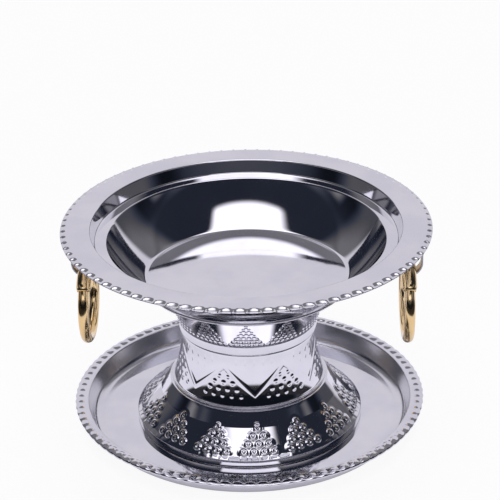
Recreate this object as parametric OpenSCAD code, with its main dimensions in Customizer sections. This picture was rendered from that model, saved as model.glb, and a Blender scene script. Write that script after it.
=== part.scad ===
// Footed serving dish with two hanging ring handles, standing in a round drip tray.
// Millimetres, +Z up, origin at the centre of the tray's underside.

/* [Sheet] */
// thickness of the pressed sheet
sheet_t = 1.0; // [0.8:0.1:1.5]

/* [Dish] */
// radius of the dish at its rolled edge
dish_r = 115; // [105:1:125]
// height of the top of the rolled edge
dish_top_z = 134; // [128:1:142]
// radius of the rolled edge's section
edge_r = 1.7; // [1.4:0.1:2.2]
// width of the flat rim and rolled edge, from the step outwards
rim_w = 17.5; // [15:0.5:21]
// depth of the flat rim's top under the rolled edge
rim_drop = 1.0; // [0.6:0.1:1.6]
// depth of the ledge under the flat rim
step_h = 8.0; // [6:0.5:10]
// how far the step's wall leans in from rim to ledge
step_lean = 2.0; // [1:0.1:3]
// width of the ledge
ledge_w = 7.4; // [5:0.2:10]
// radius of the bowl's flat underside
bowl_flat_r = 64; // [60:0.5:68]
// depth of the bowl's flat underside below the rolled edge
bowl_depth = 36.5; // [33:0.5:41]
// number of lobes around the rolled edge
lobe_count = 90; // [60:2:120]
// radius of the notch between two lobes
notch_r = 2.0; // [1.4:0.1:2.4]
// depth of that notch
notch_depth = 0.9; // [0.5:0.1:1.2]
// turn of the first notch away from the front, in degrees
notch_turn = 2; // [0:0.5:4]

/* [Collar] */
// radius of the neck, at the top of the waist
neck_r = 42.5; // [40:0.5:45]
// depth of the seam between collar and waist below the rolled edge
seam_drop = 70; // [66:0.5:74]
// how far the collar's straight band stands out of the neck
collar_out = 1.1; // [0.8:0.1:1.6]
// height of the top of that band above the seam
collar_band_h = 6; // [4:0.5:8]
// distance of the collar's mouth inside the edge of the bowl's flat underside
mouth_inset = 10.5; // [8:0.5:14]
// radius of the collar's rolled lower edge
collar_bead_r = 0.9; // [0.7:0.1:1.2]
// height of the rolled edge above the seam
collar_bead_up = 0.1; // [0.1:0.1:0.5]

/* [Waist] */
// height of the foot's crown, on which the waist stands
crown_z = 29; // [26:0.5:33]
// radius of the waist where it meets its flange
waist_base_r = 48.2; // [46:0.1:49]
// straight height at the top of the waist
waist_straight = 4; // [2:0.5:8]
// how far the flange at the bottom of the waist stands out
waist_flange_w = 0.6; // [0.3:0.1:1.5]
// thickness of that flange
waist_flange_t = 1.4; // [1:0.1:2]

/* [Foot] */
// radius of the foot's base
foot_r = 71.6; // [66:0.2:78]
// radius of the foot's flat crown
crown_r = 49.6; // [49:0.1:50]
// radius at which the steep shoulder turns to the open cone
knee_r = 56; // [54:0.5:60]
// height of the plain band at the foot's base
foot_band_h = 3.2; // [2:0.1:5]
// half height of the turned hem at the foot's base
hem_r = 0.7; // [0.5:0.1:0.9]
// how far the hem stands out of the base band
hem_out = 0.4; // [0.2:0.1:0.6]

/* [Tray] */
// radius of the tray at its edge
tray_r = 111; // [100:1:120]
// height of the tray's edge
tray_h = 15; // [12:0.5:20]
// radius of the tray's flat underside
tray_floor_r = 99; // [90:0.5:104]
// radius where the wall meets the fluted edge band
tray_band_r = 103.5; // [95:0.5:108]
// radius of the tray's rolled edge
tray_edge_r = 1.3; // [1:0.1:1.8]
// number of flutes around the edge band
flute_count = 92; // [60:2:110]
// radius of the groove between two flutes
groove_r = 1.5; // [1:0.1:2]
// depth of that groove
groove_depth = 0.7; // [0.4:0.1:0.8]

/* [Tie] */
// radius of the stud
stud_r = 3; // [2.5:0.5:4]
// length of stud below the nut
stud_end = 4; // [2:0.5:8]
// radius of the stud's welded head
stud_head_r = 12; // [8:0.5:16]
// thickness of the stud's welded head
stud_head_t = 2; // [1.5:0.1:3]
// radius of the clamping disc
disc_r = 34; // [20:0.5:40]
// thickness of the clamping disc
disc_t = 1.8; // [1.2:0.1:3]
// radius of the washer
washer_r = 6.2; // [5.5:0.1:9]
// thickness of the washer
washer_t = 1.6; // [1:0.1:2]
// width of the nut across its flats
nut_af = 10; // [8:0.5:13]
// height of the nut
nut_h = 5; // [4:0.1:7]

/* [Rings] */
// distance of each ring's plane inside the dish's edge
ring_inset = 15; // [13.5:0.5:16]
// depth of the axis about which the ring swings, below the rolled edge
eye_drop = 28.5; // [25:0.5:31]
// mean radius of the ring
ring_r = 24.25; // [20:0.25:26]
// radius of the bow's round section
bow_r = 3.4; // [2.6:0.05:3.6]
// radius of the sleeve's round section
sleeve_r = 4.3; // [3.8:0.05:4.6]
// half of the arc that the sleeve covers, in degrees
sleeve_half = 52; // [40:1:70]
// depth of the sleeve's sockets, in degrees
socket_deg = 10; // [6:1:14]
// gap left at the bottom of each socket, in degrees
socket_gap_deg = 1; // [0.5:0.5:2]

/* [Lugs] */
// width of the lug strap
lug_w = 9; // [7:0.5:10]
// thickness of the lug strap
lug_t = 1.1; // [0.9:0.1:1.4]
// inner radius of the strap's rolled eye
eye_r = 7.4; // [6.4:0.1:8]
// length of the foot turned in under the rim
lug_foot = 6; // [4:0.5:7]

/* [Clearances] */
// gap between the sleeve and the bottom of the eye it hangs in
eye_gap = 0.85; // [0.8:0.05:1.2]
// gap between the foot and the tray's floor
rest_gap = 0.3; // [0.3:0.05:0.5]
// gap between the collar's mouth and the bowl
seat_gap = 0.02; // [0.01:0.01:0.05]
// gap around the stud in the holes it passes
hole_gap = 0.4; // [0.2:0.05:0.8]
// gap of the bow in the sleeve's sockets and of the nut on the stud
fit_gap = 0.03; // [0.02:0.01:0.06]

/* [Hidden] */
$fn = 96;
far = 300;
rim_z = dish_top_z - rim_drop;
ledge_z = rim_z - step_h;
seam_z = dish_top_z - seam_drop;
eye_z = dish_top_z - eye_drop;
rim_in_r = dish_r - rim_w;
ledge_r = rim_in_r - step_lean;
bowl_mouth_r = ledge_r - ledge_w;
bowl_bot_z = dish_top_z - bowl_depth;
bowl_h = ledge_z - bowl_bot_z;
bowl_cz = (ledge_z + bowl_bot_z + (pow(bowl_mouth_r, 2) - pow(bowl_flat_r, 2)) / bowl_h) / 2;
bowl_sphere_r = sqrt(pow(bowl_mouth_r, 2) + pow(bowl_cz - ledge_z, 2));
bowl_in_r = bowl_sphere_r - sheet_t;
mouth_r = bowl_flat_r - mouth_inset;
mouth_z = bowl_bot_z - seat_gap;
collar_r = neck_r + collar_out;
collar_cone_z = seam_z + collar_band_h;
collar_bead_z = seam_z + collar_bead_up + collar_bead_r;
ledge_in_r = sqrt(pow(bowl_in_r, 2) - pow(bowl_cz - ledge_z, 2));
waist_cz = seam_z - waist_straight;
waist_out = waist_base_r - neck_r;
waist_flare_r = (pow(waist_out, 2) + pow(waist_cz - crown_z, 2)) / (2 * waist_out);
waist_flange_r = waist_base_r + waist_flange_w;
foot_z = sheet_t + rest_gap;
band_z = foot_z + foot_band_h;
knee_z = band_z + 0.6 + foot_r - knee_r;
stud_hole_r = stud_r + hole_gap;
disc_z = crown_z - sheet_t - disc_t;
washer_z = disc_z - washer_t;
nut_z = washer_z - nut_h;
stud_z = nut_z - stud_end;
lug_r = eye_r + lug_t;
lug_z = eye_z - sleeve_r - eye_gap + eye_r;
ring_x = dish_r - ring_inset;
notch_out = (edge_r + notch_r - notch_depth) / sqrt(2);
notch_x = dish_r - edge_r + notch_out;
notch_z = dish_top_z - edge_r + notch_out;
ring_z = eye_z - ring_r;
rim_under_z = rim_z - sheet_t;
bow_half = 180 - sleeve_half + socket_deg - socket_gap_deg;

steel = [0.80, 0.80, 0.83];
plain = [0.62, 0.62, 0.64];
gold = [0.85, 0.66, 0.32];

// a box in the half-plane that is turned, from radius a to b and height c to d
module band(a, b, c, d) {
    translate([a, c])
        square([b - a, d - c]);
}

// a disc in that half-plane
module dot(r, x, z) {
    translate([x, z])
        circle(r);
}

// pressed tray: floor, leaning wall, edge band and rolled edge
module tray_sheet() {
    rotate_extrude() {
        band(0, tray_floor_r, 0, sheet_t);
        polygon([
            [tray_floor_r - 0.6, 0],
            [tray_floor_r, 0],
            [tray_band_r + 0.6, tray_h - sheet_t - 0.8],
            [tray_band_r, tray_h - 0.6],
            [tray_floor_r - 0.6, sheet_t]
        ]);
        polygon([
            [tray_band_r, tray_h - sheet_t - 0.8],
            [tray_r - tray_edge_r, tray_h - tray_edge_r - 0.6],
            [tray_r - tray_edge_r, tray_h],
            [tray_band_r, tray_h - 0.6]
        ]);
        dot(tray_edge_r, tray_r - tray_edge_r, tray_h - tray_edge_r);
    }
}

// the tray with its edge band grooved into flutes
module tray() {
    color(steel)
        difference() {
            tray_sheet();
            for (i = [0:flute_count - 1])
                rotate([0, 0, 360 * i / flute_count - 90])
                    translate([tray_band_r + 0.4, 0, tray_h + groove_r - groove_depth])
                        rotate([0, 90, 0])
                            cylinder(r = groove_r, h = tray_r - tray_band_r);
        }
}

// conical foot with a flat crown, a steep shoulder, a plain base band and a turned hem
module foot() {
    color(steel)
        rotate_extrude()
            polygon([
                [stud_hole_r, crown_z - sheet_t],
                [stud_hole_r, crown_z],
                [crown_r, crown_z],
                [crown_r + 0.6, crown_z - 0.4],
                [knee_r, knee_z],
                [foot_r - 1.0, band_z + 1.6],
                [foot_r, band_z],
                [foot_r, foot_z + 2 * hem_r],
                [foot_r + hem_out, foot_z + hem_r],
                [foot_r, foot_z],
                [foot_r - 2 * hem_r, foot_z],
                [foot_r - 2 * hem_r, foot_z + hem_r],
                [foot_r - sheet_t, foot_z + 2 * hem_r],
                [foot_r - sheet_t, band_z - 0.3],
                [foot_r - 2.0, band_z + 1.1],
                [knee_r - 0.8, knee_z - 0.4],
                [crown_r - 0.3, crown_z - sheet_t]
            ]);
}

// hollow-flared drum with a closed top and a turned-out flange
module waist() {
    color(steel)
        rotate_extrude() {
            intersection() {
                band(neck_r - 2, waist_flange_r, crown_z, waist_cz);
                difference() {
                    dot(waist_flare_r + sheet_t, neck_r + waist_flare_r, waist_cz);
                    dot(waist_flare_r, neck_r + waist_flare_r, waist_cz);
                }
            }
            band(neck_r - sheet_t, neck_r, waist_cz, seam_z);
            band(stud_hole_r, neck_r, seam_z - sheet_t, seam_z);
            band(waist_base_r - sheet_t, waist_flange_r - waist_flange_t / 2, crown_z, crown_z + waist_flange_t);
            dot(waist_flange_t / 2, waist_flange_r - waist_flange_t / 2, crown_z + waist_flange_t / 2);
        }
}

// collar: a straight band with a rolled lower edge, and a cone that opens to the underside of the bowl
module collar() {
    color(steel)
        rotate_extrude() {
            polygon([
                [collar_r - sheet_t, collar_bead_z],
                [collar_r, collar_bead_z],
                [collar_r, collar_cone_z],
                [mouth_r, mouth_z],
                [mouth_r - sheet_t, mouth_z],
                [collar_r - sheet_t, collar_cone_z]
            ]);
            dot(collar_bead_r, collar_r - collar_bead_r, collar_bead_z);
        }
}

// bowl, ledge, step, flat rim and rolled edge in one sheet
module dish_sheet() {
    rotate_extrude() {
        difference() {
            intersection() {
                dot(bowl_sphere_r, 0, bowl_cz);
                band(0, far, bowl_bot_z, ledge_z);
            }
            intersection() {
                dot(bowl_in_r, 0, bowl_cz);
                band(0, far, bowl_bot_z + sheet_t, far);
            }
            band(-far, 0, 0, far);
        }
        band(ledge_in_r, ledge_r, ledge_z - sheet_t, ledge_z);
        polygon([
            [ledge_r - sheet_t, ledge_z - sheet_t],
            [ledge_r, ledge_z - sheet_t],
            [rim_in_r + sheet_t, rim_under_z],
            [rim_in_r + sheet_t, rim_z],
            [rim_in_r, rim_z],
            [ledge_r - sheet_t, ledge_z]
        ]);
        band(rim_in_r, dish_r - edge_r, rim_under_z, rim_z);
        dot(edge_r, dish_r - edge_r, dish_top_z - edge_r);
    }
}

// the sheet with its rolled edge notched into lobes
module dish() {
    color(steel)
        difference() {
            dish_sheet();
            for (i = [0:lobe_count - 1])
                rotate([0, 0, 360 * i / lobe_count + notch_turn - 90])
                    translate([notch_x, 0, notch_z])
                        rotate([0, 135, 0])
                            cylinder(r = notch_r, h = 4 * edge_r, center = true);
        }
}

// stud with a round head that is welded under the bowl
module tie_stud() {
    color(plain) {
        translate([0, 0, bowl_bot_z - stud_head_t])
            cylinder(r = stud_head_r, h = stud_head_t);
        translate([0, 0, stud_z])
            cylinder(r = stud_r, h = bowl_bot_z - stud_z - stud_head_t / 2);
    }
}

// disc that spreads the nut's pull under the crown
module clamp_disc() {
    color(plain)
        translate([0, 0, disc_z])
            difference() {
                cylinder(r = disc_r, h = disc_t);
                translate([0, 0, -1])
                    cylinder(r = stud_hole_r, h = disc_t + 2);
            }
}

// washer under the disc
module lock_washer() {
    color(plain)
        translate([0, 0, washer_z])
            difference() {
                cylinder(r = washer_r, h = washer_t);
                translate([0, 0, -1])
                    cylinder(r = stud_hole_r, h = washer_t + 2);
            }
}

// hexagon nut on the stud
module stud_nut() {
    color(plain)
        translate([0, 0, nut_z])
            difference() {
                cylinder(r = nut_af / sqrt(3), h = nut_h, $fn = 6);
                translate([0, 0, -1])
                    cylinder(r = stud_r + fit_gap, h = nut_h + 2);
            }
}

// strap rolled to an eye below, with one leg up to the rim and a foot turned in under it
module lug() {
    translate([ring_x, lug_w / 2, 0])
        rotate([90, 0, 0])
            linear_extrude(lug_w)
                difference() {
                    union() {
                        dot(lug_r, 0, lug_z);
                        band(eye_r, lug_r, lug_z, rim_under_z);
                        band(lug_r - lug_foot, lug_r, rim_under_z - lug_t, rim_under_z);
                    }
                    dot(eye_r, 0, lug_z);
                }
}

// an arc of round section in the ring's plane, from angle a0 over sweep degrees, 0 at the top
module arc(section_r, a0, sweep) {
    translate([ring_x, 0, ring_z])
        rotate([90, 0, 90])
            rotate([0, 0, 90 + a0])
                rotate_extrude(angle = sweep)
                    dot(section_r, ring_r, 0);
}

// thicker top of the ring, with a socket in each end
module ring_sleeve() {
    difference() {
        arc(sleeve_r, -sleeve_half, 2 * sleeve_half);
        arc(bow_r + fit_gap, -sleeve_half - 2, socket_deg + 2);
        arc(bow_r + fit_gap, sleeve_half - socket_deg, socket_deg + 2);
    }
}

// thinner bow of the ring, its ends inside the sockets
module ring_bow() {
    arc(bow_r, 180 - bow_half, 2 * bow_half);
}

module right_lug() {
    color(steel)
        lug();
}

module left_lug() {
    color(steel)
        mirror([1, 0, 0])
            lug();
}

module right_ring_sleeve() {
    color(gold)
        ring_sleeve();
}

module left_ring_sleeve() {
    color(gold)
        mirror([1, 0, 0])
            ring_sleeve();
}

module right_ring_bow() {
    color(gold)
        ring_bow();
}

module left_ring_bow() {
    color(gold)
        mirror([1, 0, 0])
            ring_bow();
}

tray();
foot();
waist();
collar();
dish();
tie_stud();
clamp_disc();
lock_washer();
stud_nut();
left_lug();
right_lug();
left_ring_sleeve();
right_ring_sleeve();
left_ring_bow();
right_ring_bow();
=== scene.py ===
# %% [markdown]
# # A footed serving dish with ring handles
# The object is pressed from thin polished sheet: a bowl with a lobed rim, a stem of two turned pieces,
# an embossed foot and a separate tray. The frame gives every piece its size and place, so this lesson
# turns the same outlines again at a finer step and adds what a press tool adds: lobes, flutes and dots.

# %% The frame
import math

import bpy
import numpy as np
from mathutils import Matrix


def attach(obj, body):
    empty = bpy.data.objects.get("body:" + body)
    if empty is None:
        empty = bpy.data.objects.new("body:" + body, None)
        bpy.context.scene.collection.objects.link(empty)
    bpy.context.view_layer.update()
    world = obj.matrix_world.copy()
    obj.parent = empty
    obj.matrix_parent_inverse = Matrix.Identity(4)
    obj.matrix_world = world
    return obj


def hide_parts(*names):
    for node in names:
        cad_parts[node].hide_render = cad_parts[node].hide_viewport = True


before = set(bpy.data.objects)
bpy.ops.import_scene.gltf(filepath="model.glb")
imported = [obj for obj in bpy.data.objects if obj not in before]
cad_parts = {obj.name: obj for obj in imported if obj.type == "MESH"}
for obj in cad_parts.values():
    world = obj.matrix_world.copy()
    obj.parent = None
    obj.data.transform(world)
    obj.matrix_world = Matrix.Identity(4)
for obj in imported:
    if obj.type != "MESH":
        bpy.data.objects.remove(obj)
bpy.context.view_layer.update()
MM = 0.001

# %% [markdown]
# ## Outlines
# A turned piece is one outline in the plane of X and Z, spun about the axis. Pressed sheet has no sharp
# corners, so an outline is written as corners with a bend radius, and a helper rounds each of them.
# The outline is then cut into short steps where a pattern has to be embossed later.

# %% Helpers for outlines
def bend(corners, pieces=5):
    """Points through corners (x, z, radius), each corner rounded to its radius."""
    points = []
    for i, (x, z, radius) in enumerate(corners):
        if radius == 0 or i in (0, len(corners) - 1):
            points.append((x, z))
            continue
        here = np.array((x, z))
        back = np.array(corners[i - 1][:2]) - here
        on = np.array(corners[i + 1][:2]) - here
        back_len, on_len = np.linalg.norm(back), np.linalg.norm(on)
        back, on = back / back_len, on / on_len
        half = math.acos(max(-1.0, min(1.0, float(back @ on)))) / 2
        reach = min(radius / math.tan(half), 0.48 * back_len, 0.48 * on_len)
        start, end = here + back * reach, here + on * reach
        for k in range(pieces + 1):
            t = k / pieces
            p = (1 - t) ** 2 * start + 2 * t * (1 - t) * here + t ** 2 * end
            points.append((float(p[0]), float(p[1])))
    return points


def arc(cx, cz, radius, start, end, pieces):
    """Points on a circle from one angle to another, in degrees from +X towards +Z."""
    angles = np.radians(np.linspace(start, end, pieces + 1))
    return [(cx + radius * math.cos(a), cz + radius * math.sin(a)) for a in angles]


def fine(points, step):
    """The same line, cut so that no stretch is longer than step."""
    out = [points[0]]
    for (x0, z0), (x1, z1) in zip(points, points[1:]):
        n = max(1, math.ceil(math.hypot(x1 - x0, z1 - z0) / step))
        out += [(x0 + (x1 - x0) * k / n, z0 + (z1 - z0) * k / n) for k in range(1, n + 1)]
    return out


# %% [markdown]
# ## Working by operators
# A turned piece starts as a small plane, merged to one vertex. That vertex is extruded along the outline.
# One wedge is then spun at a fine step and repeated round the axis, so that every wedge is the same, and
# the seams are merged. A Screw modifier would turn the outline too, but the spin is what one does by hand.

# %% Helpers that model by operators
def deselect():
    """Back to object mode, with nothing selected."""
    if bpy.context.object and bpy.context.object.mode != "OBJECT":
        bpy.ops.object.mode_set(mode="OBJECT")
    bpy.ops.object.select_all(action="DESELECT")


def trace(name, points):
    """One vertex, extruded from point to point of an outline in mm; leaves edit mode on."""
    deselect()
    bpy.ops.mesh.primitive_plane_add(size=MM)
    piece = bpy.context.object
    piece.name = piece.data.name = name
    bpy.ops.object.mode_set(mode="EDIT")
    bpy.ops.mesh.select_all(action="SELECT")
    bpy.ops.mesh.merge(type="CENTER")
    x, z = points[0]
    bpy.ops.transform.translate(value=(x * MM, 0, z * MM))
    for x1, z1 in points[1:]:
        step = ((x1 - x) * MM, 0, (z1 - z) * MM)
        bpy.ops.mesh.extrude_region_move(TRANSFORM_OT_translate={"value": step})
        x, z = x1, z1
    return piece


def turned(name, points, steps, wedges):
    """The outline spun through one wedge, the wedge repeated round the axis, seams and poles closed."""
    piece = trace(name, points)
    wedge = 2 * math.pi / wedges
    about = {"center": (0, 0, 0), "axis": (0, 0, 1)}
    bpy.ops.mesh.select_all(action="SELECT")
    bpy.ops.mesh.spin(steps=steps // wedges, angle=wedge, **about)
    bpy.ops.mesh.select_all(action="SELECT")
    bpy.ops.mesh.spin(steps=wedges - 1, angle=2 * math.pi - wedge, dupli=True, **about)
    bpy.ops.mesh.select_all(action="SELECT")
    bpy.ops.mesh.remove_doubles(threshold=0.01 * MM)
    bpy.ops.mesh.normals_make_consistent(inside=False)
    bpy.ops.object.mode_set(mode="OBJECT")
    bpy.ops.object.shade_smooth_by_angle(angle=math.radians(50))
    return piece


# %% [markdown]
# ## Embossing
# A press tool pushes the sheet out where its pattern is. Here that is a Displace modifier with a weight at
# every vertex. The weights could be painted by hand, but working them out from where a vertex lies on the
# piece is exact, repeats evenly and is easy to change.

# %% Helpers that emboss
def places(piece):
    """Azimuth from the front in degrees, radius and height in mm, and normals, of every vertex."""
    n = len(piece.data.vertices)
    co = np.empty(n * 3)
    piece.data.vertices.foreach_get("co", co)
    co = co.reshape(n, 3) / MM
    normal = np.array([v.normal[:] for v in piece.data.vertices])
    az = np.degrees(np.arctan2(co[:, 0], -co[:, 1]))
    return az, np.hypot(co[:, 0], co[:, 1]), co[:, 2], normal


def press(piece, group, weight, depth, way="NORMAL"):
    """Pushes the surface by depth mm times a weight between 0 and 1, along its normals or along Z."""
    marks = piece.vertex_groups.new(name=group)
    for i in np.nonzero(weight > 0.002)[0]:
        marks.add([int(i)], float(min(1.0, weight[i])), "REPLACE")
    deselect()
    bpy.context.view_layer.objects.active = piece
    piece.select_set(True)
    push = piece.modifiers.new(group, "DISPLACE")
    push.direction = way
    push.mid_level = 0
    push.strength = depth * MM
    push.vertex_group = marks.name
    bpy.ops.object.modifier_apply(modifier=push.name)
    piece.vertex_groups.clear()
    print(piece.name, "pressed", group, len(piece.data.polygons), "faces")


def ramp(x, low, high):
    """0 below low, 1 above high, smooth between."""
    t = np.clip((x - low) / (high - low), 0, 1)
    return t * t * (3 - 2 * t)


def sector(az, count, first):
    """The azimuth inside one of count equal sectors, 0 at its middle; the first middle is at first."""
    width = 360 / count
    return (az - first + width / 2) % width - width / 2


# %% [markdown]
# ## The dish
# The bowl is part of a sphere with a wide flat bottom, and a fine bead runs where the two meet outside.
# Above the bowl come a narrow ledge, a leaning step and the flat rim, whose edge is turned down in a short
# hem. One closed outline gives both faces of the sheet. The lobes could be cut one by one, but a press tool
# makes them all alike, so they are pushed down afterwards in one go: each lobe is a shallow bevel with a
# round head, and the sheet stays level in the cusp between two of them.

# %% The dish's outline
SHEET = 1.0
TOP_Z, DISH_R, EDGE_R = 134.0, 115.0, 0.42
RIM_Z, LEDGE_Z, BOWL_Z = 133.8, 125.0, 97.5
BOWL_MOUTH_R, BOWL_FLAT_R, BEAD_R = 88.1, 64.0, 0.85
BOWL_CZ = (LEDGE_Z + BOWL_Z + (BOWL_MOUTH_R ** 2 - BOWL_FLAT_R ** 2) / (LEDGE_Z - BOWL_Z)) / 2
BOWL_R = math.hypot(BOWL_MOUTH_R, BOWL_CZ - LEDGE_Z)


def bowl_angle(radius, z):
    """Angle on the bowl's circle at a height, in degrees from +X."""
    return -math.degrees(math.asin((BOWL_CZ - z) / radius))


IN_R = BOWL_R - SHEET
well_floor = BOWL_Z + SHEET
well = arc(0, BOWL_CZ, IN_R, bowl_angle(IN_R, well_floor + 2.0), bowl_angle(IN_R, LEDGE_Z - 1.2), 14)
well_foot = math.sqrt(IN_R ** 2 - (BOWL_CZ - well_floor) ** 2)
belly = arc(0, BOWL_CZ, BOWL_R, bowl_angle(BOWL_R, LEDGE_Z - 2.4), bowl_angle(BOWL_R, BOWL_Z + 1.2), 14)
bead = arc(BOWL_FLAT_R + 0.3, BOWL_Z + 0.05, BEAD_R, 62, -128, 10)
well_lip = math.sqrt(IN_R ** 2 - (BOWL_CZ - LEDGE_Z) ** 2)
HEM_Z, HEM_R = 132.6, DISH_R - EDGE_R
roll = arc(HEM_R, RIM_Z - EDGE_R, EDGE_R, 90, 0, 6) + arc(HEM_R, HEM_Z, EDGE_R, 0, -150, 9)
STEP_LOW_R, STEP_TOP_R = 94.0, 96.8
FLAT_R, FLAT_FINE_R, LOBE_START = 104.0, 108.4, 110.4
RIM_UNDER_Z, LEDGE_UNDER_Z = RIM_Z - SHEET, LEDGE_Z - SHEET
dish_line = (
    fine([(0, well_floor), (well_foot - 12, well_floor)], 14)
    + bend([(well_foot - 12, well_floor, 0), (well_foot, well_floor, 5.0), (*well[0], 0)])[1:]
    + well[1:]
    + bend([(*well[-1], 0), (well_lip, LEDGE_Z, 1.6), (STEP_LOW_R, LEDGE_Z - 0.2, 1.4),
            (STEP_TOP_R, RIM_Z, 1.2), (FLAT_R, RIM_Z, 0)])[1:]
    + fine([(FLAT_R, RIM_Z), (FLAT_FINE_R, RIM_Z)], 2.2)[1:]
    + fine([(FLAT_FINE_R, RIM_Z), (LOBE_START, RIM_Z)], 1.0)[1:]
    + fine([(LOBE_START, RIM_Z), roll[0]], 0.3)[1:]
    + roll[1:]
    + bend([(*roll[-1], 0), (110, RIM_UNDER_Z, 1.0), (98.0, RIM_UNDER_Z, 1.0),
            (95.2, LEDGE_UNDER_Z, 1.2), (88.0, LEDGE_UNDER_Z - 0.2, 1.6), (*belly[0], 0)])[1:]
    + belly[1:]
    + bead
    + fine([(BOWL_FLAT_R - 1.5, BOWL_Z), (0, BOWL_Z)], 16)
)
LOBES, LOBE_STEPS = 90, 8
dish = turned("dish_bowl", dish_line, LOBES * LOBE_STEPS, 30)
print("dish outline:", len(dish_line), "points")

# %% The lobes of the rim
LOBE_TURN, LOBE_SLOPE, LOBE_DEEP = 2.0, math.tan(math.radians(23)), 1.4
LOBE_CUSP, LOBE_WIDE, LOBE_EASE = 2.8, 2.9, 0.3


def droop(az, r, count, first, start, cusp, wide):
    """Drop of the edge in mm: a bevel from the start radius, and from cusp further out between lobes."""
    u = np.abs(sector(az, count, first)) * count / 180
    x = np.clip(r - start - cusp * u ** 3, 0, wide) - LOBE_EASE
    return LOBE_SLOPE * (x + np.sqrt(x ** 2 + 0.02)) / 2


az, r, z, normal = places(dish)
fall = droop(az, r, LOBES, LOBE_TURN + 180 / LOBES, LOBE_START, LOBE_CUSP, LOBE_WIDE)
near_edge = (r > 107) & (z > RIM_Z - 2.5)
hem_stays = np.where(r > 113.6, ramp(z, HEM_Z, RIM_Z - 0.2), 1)
press(dish, "lobes", fall * near_edge * hem_stays / LOBE_DEEP, -LOBE_DEEP, "Z")

# %% [markdown]
# ## The tray
# The tray is a shallow pressed round. Its floor turns up into a leaning wall through a wide cove, and the
# band at its edge is fluted: short lobes lie across the band, side by side. They could be an array of small
# pieces, but the real band is one sheet, so they are pressed. The flutes are swollen first along the
# normals, and their outer ends are then pushed down as the rim's lobes are, so that the outline of the edge
# shows them too.

# %% The tray's outline
TRAY_R, TRAY_H, TRAY_EDGE_R, FLUTE_H = 111.0, 15.0, 0.55, 0.8
BAND_LOW, BAND_R = TRAY_H - FLUTE_H, 104.2
FLOOR_R, COVE_R, WALL_TOP_R = 90.0, 98.6, 103.0
band_start = (BAND_R, BAND_LOW - 0.25)
tray_roll = arc(TRAY_R - TRAY_EDGE_R, BAND_LOW - TRAY_EDGE_R, TRAY_EDGE_R, 88, -90, 12)
tray_line = (
    fine([(0, SHEET), (FLOOR_R, SHEET)], 15)
    + bend([(FLOOR_R, SHEET, 0), (COVE_R, SHEET, 9.0), (WALL_TOP_R, BAND_LOW - 0.4, 1.4), (*band_start, 0)],
           12)[1:]
    + fine([band_start, tray_roll[0]], 0.5)[1:]
    + tray_roll[1:]
    + bend([(*tray_roll[-1], 0), (104.3, TRAY_H - 1.9, 1.0), (99.2, 0, 8.0), (FLOOR_R, 0, 0)], 8)[1:]
    + fine([(FLOOR_R, 0), (0, 0)], 15)[1:]
)
FLUTES = 92
tray = turned("tray_round", tray_line, FLUTES * LOBE_STEPS, 23)
print("tray outline:", len(tray_line), "points")

# %% The flutes of the tray
FALL_START, FALL_CUSP, FALL_WIDE = 107.9, 1.4, 3.0
az, r, z, normal = places(tray)
u = sector(az, FLUTES, 180 / FLUTES) * FLUTES / 180
swell = (1 - u * u) * ramp(r, 104.4, 107.0) * ramp(normal[:, 2], 0.2, 0.8) * (z > TRAY_H - 4)
press(tray, "flutes", swell, FLUTE_H)
az, r, z, normal = places(tray)
fall = droop(az, r, FLUTES, 180 / FLUTES, FALL_START, FALL_CUSP, FALL_WIDE) * (r > 105) * (z > TRAY_H - 4)
press(tray, "falls", fall / LOBE_DEEP, -LOBE_DEEP, "Z")

# %% [markdown]
# ## The foot
# The foot has a steep shoulder, a cone and a low upright band. The cone carries clusters of dots with a
# small crater each, four rows to a point, with plain gaps between the clusters. Each of the 140 dots could
# be a piece of its own, but that would leave seams, so they are pushed out of the sheet in two presses:
# first a low cushion round each dot, then the dot. The outline is cut fine only where dots stand, so that
# each dot has enough vertices across it and the piece stays light.

# %% The foot's outline
CROWN_Z, FOOT_R, FOOT_Z = 29.0, 71.6, 1.3
STUD_HOLE_R = 3.4
SHOULDER_R, KNEE_R, KNEE_Z = 50.0, 56.0, 20.7
BRIM_R, BRIM_Z = 69.0, 7.7
SHOULDER_Z, DOT_TOP_R = CROWN_Z - 0.1, 52.4
CROWN_UNDER_Z = CROWN_Z - SHEET
band_top, brim_under = (FOOT_R - 0.1, BRIM_Z - 1.6), (BRIM_R - 0.6, BRIM_Z - 0.8)
dot_top = (DOT_TOP_R, SHOULDER_Z - (SHOULDER_Z - KNEE_Z) * (DOT_TOP_R - SHOULDER_R) / (KNEE_R - SHOULDER_R))
shoulder = bend([(46.5, CROWN_Z, 0), (SHOULDER_R, SHOULDER_Z, 0.9), (*dot_top, 0)], 8)
cone = bend([(*dot_top, 0), (KNEE_R, KNEE_Z, 5.0), (BRIM_R, BRIM_Z, 5.0), (*band_top, 0)], 8)
foot_line = (
    [(STUD_HOLE_R, CROWN_UNDER_Z), (STUD_HOLE_R, CROWN_Z), (25, CROWN_Z)]
    + fine(shoulder, 2.0)
    + fine(cone[:-1], 0.50)[1:]
    + bend([(*cone[-2], 0), (*band_top, 0.5), (FOOT_R, FOOT_Z, 0.4), (FOOT_R - 1.4, FOOT_Z, 0.3),
            (FOOT_R - 1.2, FOOT_Z + 1.4, 0.3), (FOOT_R - 1.1, BRIM_Z - 2.5, 0.8), (*brim_under, 0)], 3)[1:]
    + fine([brim_under, (KNEE_R - 0.8, KNEE_Z - 0.4), (SHOULDER_R - 0.8, CROWN_UNDER_Z)], 8)[1:]
    + [(25, CROWN_UNDER_Z), (STUD_HOLE_R, CROWN_UNDER_Z)]
)
FOOT_CLUSTERS, CLUSTER_STEPS = 14, 65
foot = turned("foot_cone", foot_line, FOOT_CLUSTERS * CLUSTER_STEPS, 26)
print("foot outline:", len(foot_line), "points")

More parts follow.
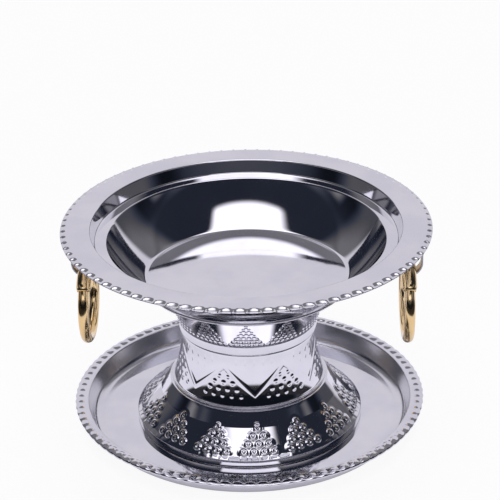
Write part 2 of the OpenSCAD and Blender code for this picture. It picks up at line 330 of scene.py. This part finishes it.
# %% The foot's dots
def dot_row(count, pitch, along):
    """Places of the dots of one row, which is centred."""
    return [((k - (count - 1) / 2) * pitch, along) for k in range(count)]


def dot_field(across, along, dots, height):
    """The highest of height(distance) over all dots (across, along), at every vertex."""
    field = np.zeros(len(across))
    for a, b in dots:
        field = np.maximum(field, height(np.hypot(across - a, along - b)))
    return field


def ring_dot(d):
    """A low dome with a small crater in its middle."""
    return np.clip(1 - (d / 2.75) ** 3, 0, 1) * (1 - 0.95 * np.exp(-d ** 2))


FOOT_FIRST, FOOT_PITCH = 6.9, 6.4
FOOT_ROWS = ((4, 67.2), (3, 63.8), (2, 60.2), (1, 56.7))
CUSHION_H, RING_DOT_H = 0.14, 0.65
SLANT = math.sqrt(2)
az, r, z, normal = places(foot)
show = ramp(normal[:, 2], 0.2, 0.4) * ramp(r, 50.5, 51.5) * (1 - ramp(r, 69.4, 70.4))
turn_in = np.radians(sector(az, FOOT_CLUSTERS, FOOT_FIRST)) * r
foot_dots = []
for count, row_r in FOOT_ROWS:
    foot_dots += dot_row(count, FOOT_PITCH, row_r * SLANT)
cushion = dot_field(turn_in, r * SLANT, foot_dots, lambda d: 1 - ramp(d, 3.4, 4.3))
press(foot, "cushions", cushion * show, CUSHION_H)
az, r, z, normal = places(foot)
turn_in = np.radians(sector(az, FOOT_CLUSTERS, FOOT_FIRST)) * r
press(foot, "rings", dot_field(turn_in, r * SLANT, foot_dots, ring_dot) * show, RING_DOT_H)

# %% [markdown]
# ## The waist
# The waist is a drum with a hollow flare and a small flange that sits on the foot. A half-round ridge runs
# round it in a zigzag, dots fill the triangles under the ridge, and the plain sheet above it carries a few
# short dashes. A curve swept along a zigzag would have to be fitted to the flare, so the ridge is pressed
# from the sheet too, by the height of each vertex over the zigzag line.

# %% The waist's outline
SEAM_Z, NECK_R, WAIST_BASE_R, FLANGE_R = 64.0, 42.5, 48.2, 48.8
WAIST_CZ = SEAM_Z - 4
waist_out = WAIST_BASE_R - NECK_R
WAIST_FLARE = (waist_out ** 2 + (WAIST_CZ - CROWN_Z) ** 2) / (2 * waist_out)


def waist_r(z):
    """Outer radius of the waist at a height."""
    return NECK_R + WAIST_FLARE - np.sqrt(WAIST_FLARE ** 2 - np.minimum(z - WAIST_CZ, 0) ** 2)


SEAM_UNDER_Z, FLARE_LOW = SEAM_Z - SHEET, CROWN_Z + 2.0
FLANGE_TOP, FLANGE_LOW = CROWN_Z + 1.4, CROWN_Z + 0.02
heights = np.linspace(SEAM_Z - 1.4, FLARE_LOW, 78)
waist_line = (
    [(STUD_HOLE_R, SEAM_UNDER_Z), (STUD_HOLE_R, SEAM_Z), (20, SEAM_Z), (38, SEAM_Z)]
    + bend([(38, SEAM_Z, 0), (NECK_R, SEAM_Z, 1.0), (float(waist_r(heights[0])), float(heights[0]) - 0.1, 0)],
           3)[1:]
    + [(float(waist_r(h)), float(h)) for h in heights[1:]]
    + bend([(float(waist_r(FLARE_LOW)), FLARE_LOW, 0), (47.6, FLANGE_TOP, 0.4), (FLANGE_R, FLANGE_TOP, 0.6),
            (FLANGE_R, FLANGE_LOW, 0.6), (46.6, FLANGE_LOW, 0)], 4)[1:]
    + [(float(waist_r(h)) - SHEET, float(h)) for h in np.linspace(FLARE_LOW, SEAM_UNDER_Z, 8)]
    + [(20, SEAM_UNDER_Z), (STUD_HOLE_R, SEAM_UNDER_Z)]
)
waist = turned("waist_drum", waist_line, 720, 30)
print("waist outline:", len(waist_line), "points")

# %% The zigzag
ZIGS, ZIG_VALLEY, ZIG_LOW, ZIG_HIGH, ZIG_LEAN = 7, 6.6, 37.6, 55.0, 0.79
RIDGE_W, RIDGE_H = 1.8, 0.16
half_turn = 180 / ZIGS
az, r, z, normal = places(waist)
outside = (normal[:, 2] < 0.5) & (r > waist_r(z) - 0.3) & (z > FLARE_LOW) & (z < SEAM_Z - 0.7)
from_valley = np.abs(sector(az, ZIGS, ZIG_VALLEY))
zig_z = ZIG_LOW + (ZIG_HIGH - ZIG_LOW) * from_valley / half_turn
off = (z - zig_z) * ZIG_LEAN
press(waist, "zigzag", np.clip(1 - (off / RIDGE_W) ** 2, 0, 1) * outside, RIDGE_H)

# %% The waist's dots and dashes
DOT_ROWS_Z, DOT_PITCH, DOT_H = (36.6, 40.6, 44.6, 48.6), 6.0, 0.22
DASH_ROWS_Z, DASH_PITCH, DASH_H, DASH_LONG = (58.6, 53.4), 5.6, 0.09, 3


def round_dot(size):
    """A plain dome of a given radius."""
    return lambda d: np.where(d < size, np.cos(np.pi / 2 * d / size), 0)


az, r, z, normal = places(waist)
upright = []
for row, row_z in enumerate(DOT_ROWS_Z):
    upright += dot_row(5 - row, DOT_PITCH, row_z)
across = np.radians(sector(az, ZIGS, ZIG_VALLEY + half_turn)) * r
press(waist, "dots_low", dot_field(across, z, upright, round_dot(1.6)) * outside, DOT_H)
dashes = np.zeros(len(z))
across = np.radians(sector(az, ZIGS, ZIG_VALLEY)) * r
for row, row_z in enumerate(DASH_ROWS_Z):
    spots = dot_row(5 - 2 * row, DASH_PITCH, row_z / DASH_LONG)
    dashes = np.maximum(dashes, dot_field(across, z / DASH_LONG, spots, round_dot(0.7)))
press(waist, "dashes", dashes * outside, DASH_H)

# %% [markdown]
# ## The collar
# The collar is a straight band and a cone that opens to the flat underside of the bowl. The band's lower
# edge is turned in and overhangs the waist a little. Bunches of small dots stand on the cone, seven wide at
# the bottom and one at the top. They could be small spheres joined to the cone, but pressing keeps one
# sheet and lets the dots fade upwards, as a worn press tool leaves them.

# %% The collar's outline
COLLAR_R, CONE_Z = NECK_R + 1.1, SEAM_Z + 6
MOUTH_R, MOUTH_Z = BOWL_FLAT_R - 10.5, BOWL_Z - 0.02
CONE_OPEN = (MOUTH_R - COLLAR_R) / (MOUTH_Z - CONE_Z)


def collar_r(z):
    """Outer radius of the collar at a height."""
    return COLLAR_R + CONE_OPEN * np.maximum(z - CONE_Z, 0)


DOTS_LOW, DOTS_HIGH = 70.4, 89.5
TURNED_IN_R, COLLAR_LOW = NECK_R - 1.2, SEAM_Z + 0.3
collar_line = (
    bend([(TURNED_IN_R, COLLAR_LOW, 0), (COLLAR_R, COLLAR_LOW, 0.8), (COLLAR_R, CONE_Z, 0.8),
          (float(collar_r(DOTS_LOW + 0.6)), DOTS_LOW + 0.6, 0)], 8)
    + fine([(float(collar_r(z)), z) for z in (DOTS_LOW + 0.6, DOTS_HIGH)], 0.3)[1:]
    + [(float(collar_r(MOUTH_Z)), MOUTH_Z), (MOUTH_R - SHEET, MOUTH_Z)]
    + [(COLLAR_R - SHEET, CONE_Z), (TURNED_IN_R, COLLAR_LOW)]
)
BUNCHES, BUNCH_STEPS = 12, 56
collar = turned("collar_cone", collar_line, BUNCHES * BUNCH_STEPS, 28)
print("collar outline:", len(collar_line), "points")

# %% The collar's bunches of dots
BUNCH_FIRST, BUNCH_ROWS, BUNCH_H = 0.7, 7, 0.5
BUNCH_PITCH, BUNCH_LOW, BUNCH_RISE = 3.25, 72.2, 2.65
az, r, z, normal = places(collar)
outside = (r > collar_r(z) - 0.3) & (z > DOTS_LOW) & (z < DOTS_HIGH)
bunch = []
for row in range(BUNCH_ROWS):
    bunch += dot_row(BUNCH_ROWS - row, BUNCH_PITCH, BUNCH_LOW + BUNCH_RISE * row)
across = np.radians(sector(az, BUNCHES, BUNCH_FIRST)) * r
fade = 1 - 0.65 * ramp(z, 72.5, 80)
press(collar, "bunches", dot_field(across, z, bunch, round_dot(1.4)) * fade * outside, BUNCH_H)

# %% [markdown]
# ## The rings
# Each ring has a thinner bow and a thicker sleeve at the top, which runs in the lug. A torus can't change its
# thickness, so both are a round section spun part of a turn about the ring's middle and capped. The
# sleeve's ends are then pressed in to a round, down to the bow that goes into them.

# %% A part of a ring
RING_X, RING_Z, RING_R = 100.0, 81.25, 24.25
RING_TURN = 2.4


def ring_arc(name, side, section_r, start, sweep, steps):
    """A round section spun about the ring's middle from start degrees past the top."""
    deselect()
    a = math.radians(start)
    middle = (side * RING_X * MM, 0, RING_Z * MM)
    spot = (middle[0], math.sin(a) * RING_R * MM, middle[2] + math.cos(a) * RING_R * MM)
    bpy.ops.mesh.primitive_circle_add(vertices=40, radius=section_r * MM, location=spot,
                                      rotation=(math.pi / 2 - a, 0, 0))
    piece = bpy.context.object
    piece.name = piece.data.name = name
    bpy.ops.object.transform_apply(location=True, rotation=True, scale=True)
    bpy.ops.object.mode_set(mode="EDIT")
    bpy.ops.mesh.select_all(action="SELECT")
    bpy.ops.mesh.spin(steps=steps, angle=math.radians(sweep), center=middle, axis=(1, 0, 0))
    bpy.ops.mesh.select_all(action="DESELECT")
    bpy.ops.mesh.select_mode(type="EDGE")
    bpy.ops.mesh.select_non_manifold()
    bpy.ops.mesh.edge_face_add()
    bpy.ops.mesh.select_mode(type="VERT")
    bpy.ops.mesh.select_all(action="SELECT")
    bpy.ops.mesh.normals_make_consistent(inside=False)
    bpy.ops.transform.rotate(value=math.radians(-side * RING_TURN), orient_axis="Z",
                             center_override=middle)
    bpy.ops.object.mode_set(mode="OBJECT")
    bpy.ops.object.shade_smooth_by_angle(angle=math.radians(40))
    return piece


# %% Sleeves and bows
SLEEVE_R, SLEEVE_HALF = 4.8, 53.0
END_TURN, END_H, END_ROUND = 11.0, 1.8, 0.98
BOW_R, BOW_IN = 3.4, 2.0
sleeves, bows = {}, {}
for word, side in (("left", -1), ("right", 1)):
    sleeves[word] = ring_arc(word + "_sleeve", side, SLEEVE_R, -SLEEVE_HALF, 2 * SLEEVE_HALF, 96)
    spots = np.array([tuple(v.co) for v in sleeves[word].data.vertices]) / MM
    past_top = np.degrees(np.arctan2(np.abs(spots[:, 1]), spots[:, 2] - RING_Z))
    near_end = np.clip((past_top - SLEEVE_HALF) / END_TURN + 1, 0, 1)
    press(sleeves[word], "ends", 1 - np.sqrt(1 - END_ROUND * near_end ** 2), -END_H)
    bow_start = SLEEVE_HALF - BOW_IN
    bows[word] = ring_arc(word + "_bow", side, BOW_R, bow_start, 360 - 2 * bow_start, 96)
    print(word, "ring:", len(sleeves[word].data.polygons), len(bows[word].data.polygons), "faces")

# %% [markdown]
# ## The lugs
# A lug is one strip: a foot turned in under the rim, a leg going down outside the ring, and a rolled eye
# in which the sleeve hangs. A bent plate could be cut from blocks, but a strip has one thickness all along,
# so its middle line is traced, drawn out to its width, thickened and bevelled.

# %% Rolled strips
EYE_Z, LUG_W, LUG_T, EYE_R, EYE_GAP, LUG_FOOT = 105.5, 9.0, 1.1, 8.4, 0.85, 6.0
LUG_Z = EYE_Z - SLEEVE_R - EYE_GAP + EYE_R


def rolled_lug(name, side):
    """The strip of one lug, from its foot under the rim to the end of the eye."""
    mid_r = EYE_R + LUG_T / 2
    top = RIM_UNDER_Z - LUG_T / 2 - 0.02
    path = bend([(mid_r - LUG_FOOT + LUG_T / 2, top, 0), (mid_r, top, 1.2), (mid_r, LUG_Z + 8, 0)], 5)
    path += fine([(mid_r, LUG_Z + 8), (mid_r, LUG_Z)], 4)[1:]
    path += arc(0, LUG_Z, mid_r, 0, -328, 48)[1:]
    piece = trace(name, [(side * (RING_X + x), z) for x, z in path])
    bpy.ops.mesh.select_all(action="SELECT")
    bpy.ops.transform.translate(value=(0, -LUG_W / 2 * MM, 0))
    bpy.ops.mesh.extrude_region_move(TRANSFORM_OT_translate={"value": (0, LUG_W * MM, 0)})
    bpy.ops.mesh.select_all(action="SELECT")
    bpy.ops.mesh.normals_make_consistent(inside=False)
    bpy.ops.object.mode_set(mode="OBJECT")
    thick = piece.modifiers.new("strip", "SOLIDIFY")
    thick.thickness = LUG_T * MM
    thick.offset = 0
    bpy.ops.object.modifier_apply(modifier=thick.name)
    soft = piece.modifiers.new("edge", "BEVEL")
    soft.width = 0.22 * MM
    soft.segments = 2
    soft.limit_method = "ANGLE"
    bpy.ops.object.modifier_apply(modifier=soft.name)
    bpy.ops.object.shade_smooth_by_angle(angle=math.radians(40))
    return piece


lugs = {"left": rolled_lug("left_strap", -1), "right": rolled_lug("right_strap", 1)}
print("lugs:", [len(p.data.polygons) for p in lugs.values()], "faces")

# %% [markdown]
# ## Riding on the frame
# Every piece follows the body of the node that it stands for, and hides that node. The stud, disc, washer
# and nut inside the stem are plain shapes that don't show, so the frame's own solids are kept for them.

# %% Bodies
for piece, body, node in ((dish, "stand", "dish"), (collar, "stand", "collar"), (waist, "stand", "waist"),
                          (foot, "stand", "foot"), (tray, "tray", "tray")):
    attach(piece, body)
    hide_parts(node)
for word in ("left", "right"):
    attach(lugs[word], "stand")
    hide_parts(word + "_lug")
    for piece, node in ((sleeves[word], "_ring_sleeve"), (bows[word], "_ring_bow")):
        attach(piece, word + "_ring")
        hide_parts(word + node)

# %% [markdown]
# ## Finishes
# Shader maths reads best as plain expressions, so a small class wraps a socket and adds a Math node for
# each operator. Polished sheet is a mirror with small faults: it is never quite flat, and wiping leaves
# faint haze. Pictures of worn metal could give that, but noise needs no file and repeats nowhere. The tray's
# wall is duller than its floor, as where a polishing wheel doesn't reach. Gold plate is warmer and a little
# softer, and the strips are left as they were rolled.

# %% A wire that can be calculated with
class Wire:
    """A socket that plain arithmetic works on."""

    def __init__(self, socket):
        self.socket = socket

    def math(self, operation, other, swap=False):
        made = self.socket.id_data.nodes.new("ShaderNodeMath")
        made.operation = operation
        for slot, value in zip(made.inputs, (other, self) if swap else (self, other)):
            feed(slot, value)
        return Wire(made.outputs[0])

    def __add__(self, other):
        return self.math("ADD", other)

    def __sub__(self, other):
        return self.math("SUBTRACT", other)

    def __rsub__(self, other):
        return self.math("SUBTRACT", other, True)

    def __mul__(self, other):
        return self.math("MULTIPLY", other)

    def root(self):
        """The square root."""
        return self.math("SQRT", 0.0)

    __radd__, __rmul__ = __add__, __mul__


def feed(slot, value):
    """Links a wire to a socket, or sets the socket's own value."""
    if isinstance(value, Wire):
        slot.id_data.links.new(value.socket, slot)
    else:
        slot.default_value = value


# %% A bench to build node trees on
class Bench:
    """An emptied node tree to build on."""

    def __init__(self, tree):
        self.tree = tree
        tree.nodes.clear()

    def add(self, kind, settings=None, inputs=None, out=0):
        """A node of any type, with its settings and the values or links of its sockets."""
        made = self.tree.nodes.new("ShaderNode" + kind)
        for name, value in (settings or {}).items():
            setattr(made, name, value)
        for name, value in (inputs or {}).items():
            feed(made.inputs[name], value)
        return Wire(made.outputs[out]) if made.outputs else None

    def ramp(self, value, low, high):
        """0 below low and 1 above high, smooth between."""
        return self.add("MapRange", {"interpolation_type": "SMOOTHSTEP"},
                        {"Value": value, "From Min": low, "From Max": high})

    def band(self, value, low, full, fade, end):
        """Rises from low to full and falls from fade to end."""
        return self.ramp(value, low, full) * (1 - self.ramp(value, fade, end))

    def blend(self, factor, first, second, how="MIX"):
        """Two colours, mixed."""
        return self.add("Mix", {"data_type": "RGBA", "blend_type": how}, {0: factor, 6: first, 7: second}, out=2)

    def parts(self, vector):
        """The three parts of a vector."""
        node = self.add("SeparateXYZ", None, {0: vector}).socket.node
        return [Wire(socket) for socket in node.outputs]


# %% Polished sheet and gold plate
SHEEN, WIPED = (0.86, 0.86, 0.89), (0.80, 0.80, 0.84)
WALL_IN, WALL_OUT, WALL_HAZE = 0.090, 0.1045, 0.14


def finish(name, light, dark, haze, wave, dull_wall=False):
    """A metal that wanders between two tints, with haze and a slight wave."""
    made = bpy.data.materials.new(name)
    made.use_nodes = True
    bench = Bench(made.node_tree)
    spot = bench.add("TexCoord", out="Object")
    cloud = bench.add("TexNoise", None, {"Vector": spot, "Scale": 35.0, "Detail": 3.0}, out="Fac")
    swell = bench.add("TexNoise", None, {"Vector": spot, "Scale": 55.0, "Detail": 1.0}, out="Fac")
    tint = bench.blend(bench.ramp(cloud, 0.35, 0.65), (*dark, 1), (*light, 1))
    bump = bench.add("Bump", None, {"Height": swell, "Strength": wave, "Distance": 0.001})
    rough = haze + 0.05 * cloud
    if dull_wall:
        across, along, _ = bench.parts(spot)
        away = (across * across + along * along).root()
        rough = rough + WALL_HAZE * bench.band(away, WALL_IN, WALL_IN + 0.004, WALL_OUT - 0.001, WALL_OUT)
    shade = bench.add("BsdfPrincipled", None, {
        "Base Color": tint, "Metallic": 1.0, "Roughness": rough, "Normal": bump})
    bench.add("OutputMaterial", None, {"Surface": shade})
    return made


polished_steel = finish("polished_steel", SHEEN, WIPED, 0.03, 0.03)
tray_steel = finish("tray_steel", SHEEN, WIPED, 0.03, 0.03, dull_wall=True)
gold_plate = finish("gold_plate", (0.95, 0.73, 0.40), (0.88, 0.62, 0.28), 0.10, 0.03)
strip_steel = finish("strip_steel", (0.50, 0.50, 0.53), (0.42, 0.42, 0.46), 0.30, 0.05)
plain_steel = finish("plain_steel", (0.60, 0.60, 0.62), (0.50, 0.50, 0.52), 0.28, 0.10)
for pieces, metal in (((dish, foot, waist, collar), polished_steel), ((tray,), tray_steel),
                      (lugs.values(), strip_steel), ((*sleeves.values(), *bows.values()), gold_plate)):
    for piece in pieces:
        piece.data.materials.clear()
        piece.data.materials.append(metal)
for node in ("tie_stud", "clamp_disc", "lock_washer", "stud_nut"):
    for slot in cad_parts[node].material_slots:
        slot.material = plain_steel
print("finishes:", [m.name for m in (polished_steel, tray_steel, gold_plate, strip_steel, plain_steel)])

# %% [markdown]
# ## The studio
# Polished metal shows the room more than itself, so the room is built as a small studio. The object stands
# on white paper, which glows in reflections as if lit: painted light. The glow is darker close to the tray,
# painted shade where little light gets in, and the paper ends in front of the object, which gives the black
# reflections on the foot and under the bowl. The camera sees plain white, and the share of matt paper
# keeps the shadow.

# %% Floor
deselect()
bpy.ops.mesh.primitive_plane_add(size=6, location=(0, 0, -0.0004))
floor = bpy.context.object
floor.name = floor.data.name = "studio_floor"
LAVENDER, WHITE, MATT_WHITE = (0.95, 0.93, 1.04, 1), (1, 1, 1, 1), (0.88, 0.88, 0.9, 1)
UNDER_TRAY, BY_TRAY, PAPER_END = (0.094, 0.110), (0.110, 0.17), (0.29, 0.35)
paper = bpy.data.materials.new("white_paper")
paper.use_nodes = True
bench = Bench(paper.node_tree)
across, along, _ = bench.parts(bench.add("TexCoord", out="Object"))
away = (across * across + along * along).root()
# Painted shade: the paper's glow in reflections is dimmed under and beside the tray, where the tray's shadow
# falls.
painted_shade_by_tray = 0.35 + 0.45 * bench.ramp(away, *UNDER_TRAY) + 0.20 * bench.ramp(away, *BY_TRAY)
paper_end = bench.ramp(away, *PAPER_END) * (1 - bench.ramp(along, 0.05, 0.25))
seen = bench.add("LightPath", out="Is Camera Ray")
# The camera sees plain white; in reflections the paper glows as if lit, which is painted light, dimmed by the
# painted shade by the tray and nearly gone past the paper's end.
shine = 1.12 * seen + (1 - seen) * painted_shade_by_tray * (1 - 0.97 * paper_end)
matt = bench.add("BsdfDiffuse", None, {"Color": MATT_WHITE})
glow_color = bench.blend(1.0, bench.blend(seen, LAVENDER, WHITE), shine, "MULTIPLY")
glow = bench.add("Emission", None, {"Color": glow_color, "Strength": 1.0})
share = 0.8 + 0.2 * paper_end * (1 - seen)
bench.add("OutputMaterial", None, {"Surface": bench.add("MixShader", None, {0: share, 1: matt, 2: glow})})
floor.data.materials.append(paper)
print("floor:", floor.name, "with", len(paper.node_tree.nodes), "nodes")

# %% [markdown]
# ## The room
# The room is a pale panel behind the object, a wide light above it, a soft box round the camera and a faint
# glow low at the sides. Between them it stays nearly dark and a little blue. Lamps would show as hard spots
# in a mirror, so each light is a soft patch of the world. The x, y and z of a direction, from -1 to 1, say
# where it starts and where it fades.

# %% Room
DARK_BLUE, PALE = (0.7, 0.85, 1.35, 1), (0.965, 0.935, 1.03, 1)
# How bright each light is, and where it lies: two values for a rise, four for a rise and a fall.
PANEL, ABOVE, SOFT_BOX, LOW_GLOW, SIDE_GLOW = 0.70, 1.5, 1.1, 0.17, 0.22
PANEL_Y = (0.64, 0.71)
ABOVE_X, ABOVE_Y, ABOVE_Z = (-0.46, -0.34, 0.34, 0.42), (0.25, 0.40), (0.80, 0.85)
BOX_X, BOX_Z = (-0.42, -0.38, 0.42, 0.46), (0.39, 0.42, 0.57, 0.61)
GLOW_XX, GLOW_Z = (0.50, 0.75), (0.16, 0.34, 0.50, 0.58)
SKIRT_Y, SKIRT_Z = (-0.4, -0.1, 0.20, 0.45), (0.15, 0.35)
REAR_Y, REAR_Z = (0.20, 0.45), (0.50, 0.70)
SIDE_XX, SIDE_Y, SIDE_Z = (0.18, 0.30), (-0.15, 0.05), (0.26, 0.34, 0.42, 0.50)
world = bpy.context.scene.world or bpy.data.worlds.new("studio")
bpy.context.scene.world = world
world.use_nodes = True
bench = Bench(world.node_tree)
x, y, z = bench.parts(bench.add("TexCoord", out="Generated"))
back = bench.ramp(y, *PANEL_Y)
above = bench.ramp(z, *ABOVE_Z) * bench.band(x, *ABOVE_X) * (1 - bench.ramp(y, *ABOVE_Y))
front = bench.band(z, *BOX_Z) * bench.band(x, *BOX_X) * (1 - back)
low = 0.5 * bench.band(z, *GLOW_Z) * (1 - bench.ramp(x * x, *GLOW_XX))
low = low + 0.5 * bench.band(y, *SKIRT_Y) * (1 - bench.ramp(z, *SKIRT_Z))
low = (low + bench.ramp(y, *REAR_Y) * (0.4 + 0.7 * bench.ramp(z, *REAR_Z))) * (1 - back)
side = bench.band(z, *SIDE_Z) * bench.ramp(x * x, *SIDE_XX) * (1 - bench.ramp(y, *SIDE_Y))
dim = 0.008 + 0.016 * bench.ramp(z, 0.3, 0.6)
level = dim + PANEL * back + ABOVE * above + SOFT_BOX * front + LOW_GLOW * low + SIDE_GLOW * side
tint = bench.blend(bench.ramp(level, 0.02, 0.10), DARK_BLUE, PALE)
room = bench.add("Background", None, {"Color": bench.blend(1.0, tint, level, "MULTIPLY"), "Strength": 1.0})
white = bench.add("Background", None, {"Color": WHITE, "Strength": 1.0})
backdrop = bench.add("LightPath", out="Is Camera Ray")
bench.add("OutputWorld", None, {"Surface": bench.add("MixShader", None, {0: backdrop, 1: room, 2: white})})
print("room:", len(world.node_tree.nodes), "nodes")

# %% [markdown]
# ## The camera
# The camera looks down by about 26 degrees from a little to one side, with a long lens and a small roll. One
# could place it by eye, but its values come from fitting the circles of the rim and of the tray, so that
# both ellipses fall where they should.

# %% Camera
LENS, ELEVATION, DISTANCE, ROLL = 161.7, 25.89, 1.3879, -1.06
AIM_DOWN, AIM_RIGHT, AZIMUTH = 0.682, 0.097, 2.2
e, a = math.radians(ELEVATION), math.radians(AZIMUTH)
reach = DISTANCE * math.cos(e)
eye = (reach * math.sin(a), -reach * math.cos(a), TOP_Z * MM + DISTANCE * math.sin(e))
deselect()
look = (math.radians(90 - ELEVATION - AIM_DOWN), 0, math.radians(AZIMUTH - AIM_RIGHT))
bpy.ops.object.camera_add(location=eye, rotation=look)
camera = bpy.context.object
camera.data.lens = LENS
camera.data.sensor_width = 36
camera.data.clip_end = 20
camera.rotation_euler.rotate_axis("Z", math.radians(ROLL))
bpy.context.scene.camera = camera
bpy.context.scene.view_settings.view_transform = "Standard"
print("camera at", [round(c, 3) for c in eye], "with a lens of", LENS)
